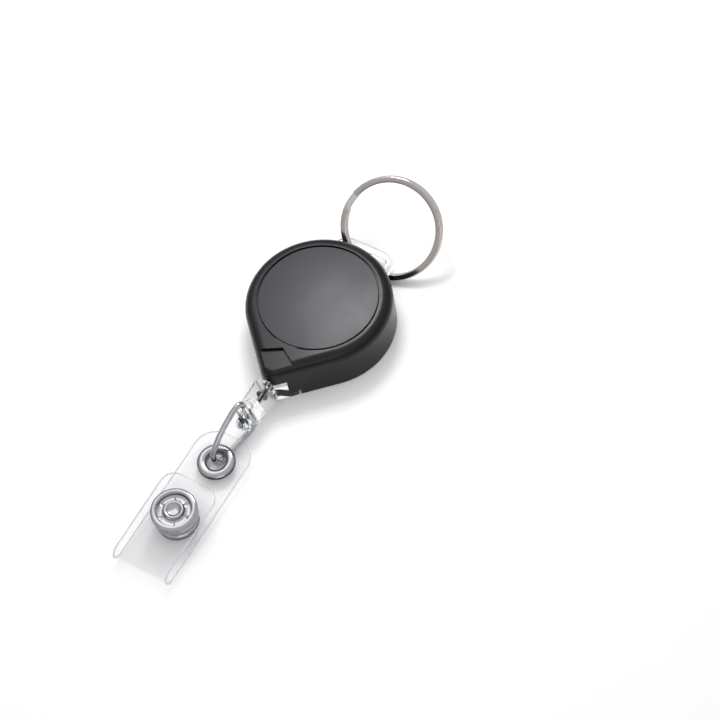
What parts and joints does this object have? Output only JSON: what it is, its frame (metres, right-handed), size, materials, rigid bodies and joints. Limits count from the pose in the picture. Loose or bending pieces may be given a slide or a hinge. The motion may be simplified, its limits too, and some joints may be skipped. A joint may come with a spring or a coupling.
{
  "type": "retractable badge reel",
  "caption": "Teardrop spring badge reel: black case, clear back plate with bail and split ring, clear cord end fitting, wire loop and clear vinyl snap strap.",
  "frame": {"origin": "on the case's flat back face, on the spool's axis", "axes": "+Z out of the face, -Y along the cord as it leaves the nose, +Y towards the bail and split ring"},
  "size_m": [0.033, 0.1061, 0.0179],
  "materials": {
    "black_abs": "fine satin moulded",
    "label_black": "smooth satin",
    "clear_pc": "clear polycarbonate",
    "clear_vinyl": "clear flexible vinyl",
    "acetal_white": "moulded acetal",
    "spring_steel": "blued spring strip",
    "nickel": "nickel plated",
    "steel_wire": "bright drawn wire",
    "ring_steel": "nickel plated steel",
    "cord_black": "braided nylon"
  },
  "bodies": {
    "case": {"front_case": "black_abs", "face_label": "label_black", "back_plate": "clear_pc", "cord_run": "cord_black"},
    "spool": {"spool": "acetal_white", "spring_cover": "acetal_white", "power_spring": "spring_steel", "cord_winding": "cord_black"},
    "cord_end": {"cord_lead": "cord_black", "cord_knot": "cord_black"},
    "fitting": {"end_fitting": "clear_pc"},
    "hook": {"wire_loop": "steel_wire"},
    "strap": {"strap_main": "clear_vinyl", "strap_fold": "clear_vinyl", "eyelet": "nickel", "eyelet_washer": "nickel", "snap_post": "nickel", "snap_stud": "nickel"},
    "flap": {"strap_flap": "clear_vinyl", "snap_socket": "nickel", "snap_cap": "nickel"},
    "ring": {"split_ring": "ring_steel"}
  },
  "joints": [
    {"name": "cord_pull", "type": "slide", "parent": "case", "child": "cord_end", "axis": [0, -1, 0], "range_m": [0, 0.86], "stiffness_N_per_m": 1.34, "springref_m": -0.41, "deforming": ["cord_lead"]},
    {"name": "spool_spin", "type": "hinge", "parent": "case", "child": "spool", "pos_m": [0, 0, 0.0045], "axis": [0, 0, -1], "range_deg": [0, 4440], "deforming": ["power_spring"]},
    {"name": "fitting_swivel", "type": "hinge", "parent": "cord_end", "child": "fitting", "pos_m": [0, -0.0249, 0.0054], "axis": [0, 1, 0], "continuous": true},
    {"name": "hook_swing", "type": "hinge", "parent": "fitting", "child": "hook", "pos_m": [0, -0.0304, 0.0054], "axis": [-0.2588, 0, 0.9659], "range_deg": [-60, 60]},
    {"name": "strap_tilt", "type": "hinge", "parent": "hook", "child": "strap", "pos_m": [-0.0016, -0.04201, 0.00221], "axis": [1, 0, 0], "range_deg": [0, 30]},
    {"name": "flap_open", "type": "hinge", "parent": "strap", "child": "flap", "pos_m": [0, -0.07047, 0.00287], "axis": [1, 0, 0], "range_deg": [0, 120], "deforming": ["strap_fold"]},
    {"name": "ring_swing", "type": "hinge", "parent": "case", "child": "ring", "pos_m": [0, 0.01995, 0.0034], "axis": [1, 0, 0], "range_deg": [-5, 45]}
  ],
  "couplings": [
    {"joint": "spool_spin", "follows": "cord_pull", "rad_per_m": 90.09}
  ]
}
